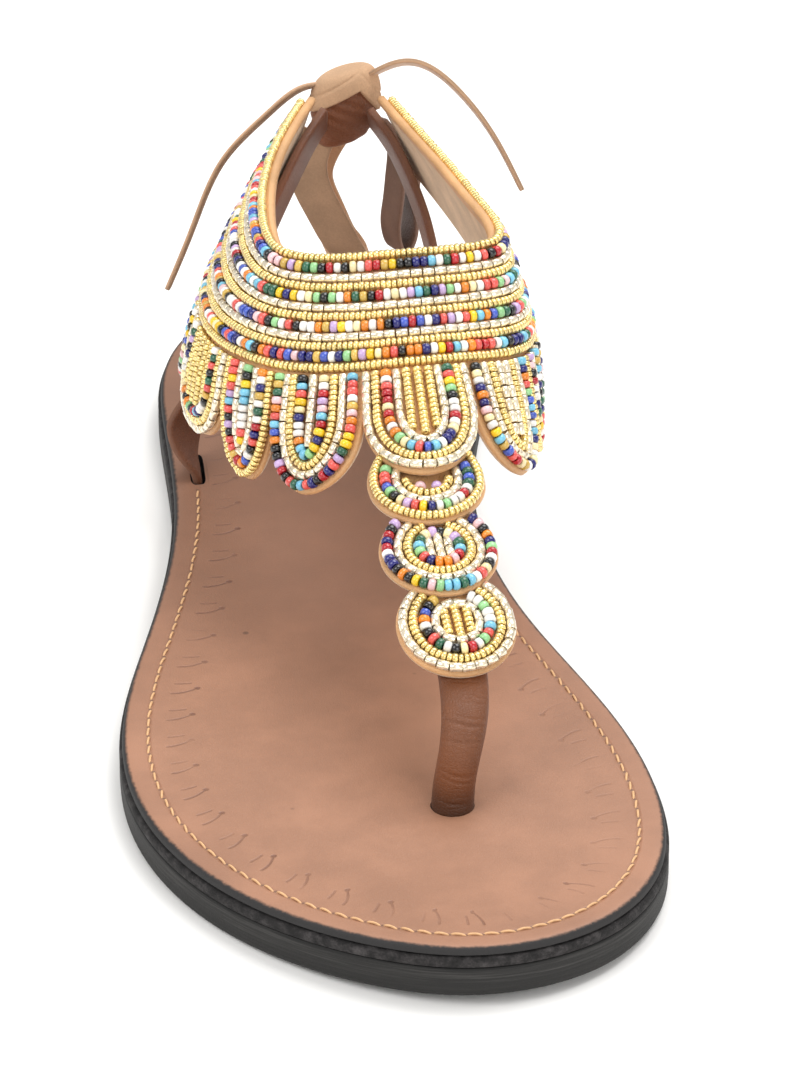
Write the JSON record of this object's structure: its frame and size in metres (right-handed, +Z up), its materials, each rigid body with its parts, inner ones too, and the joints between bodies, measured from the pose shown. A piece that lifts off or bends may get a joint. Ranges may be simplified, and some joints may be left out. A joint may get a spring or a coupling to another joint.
{
  "type": "beaded sandal",
  "caption": "Flat leather thong sandal with a beaded ankle collar, hanging beaded petals, a strap of beaded discs down to the toe post and a leather tie behind the heel.",
  "frame": {"origin": "on the ground under the middle of the sole's box", "axes": "+Y from toe to heel, +X to the inner side of the foot, +Z up"},
  "size_m": [0.092, 0.2542, 0.0773],
  "materials": {
    "outsole": "matt black rubber",
    "midsole": "edge dyed black",
    "footbed": "smooth satin brown",
    "strap_leather": "brown grain outside, suede inside",
    "upper": "glass beads sewn on tan leather"
  },
  "bodies": {
    "root": {"outsole": "outsole", "midsole": "midsole", "footbed": "footbed", "toe_post": "strap_leather", "upper": "upper", "heel_tie_lateral": "strap_leather", "heel_tie_medial": "strap_leather", "tie_knot": "strap_leather", "tie_end_lateral": "strap_leather", "tie_end_medial": "strap_leather", "tie_loop_lateral": "strap_leather", "tie_loop_medial": "strap_leather"}
  },
  "joints": []
}
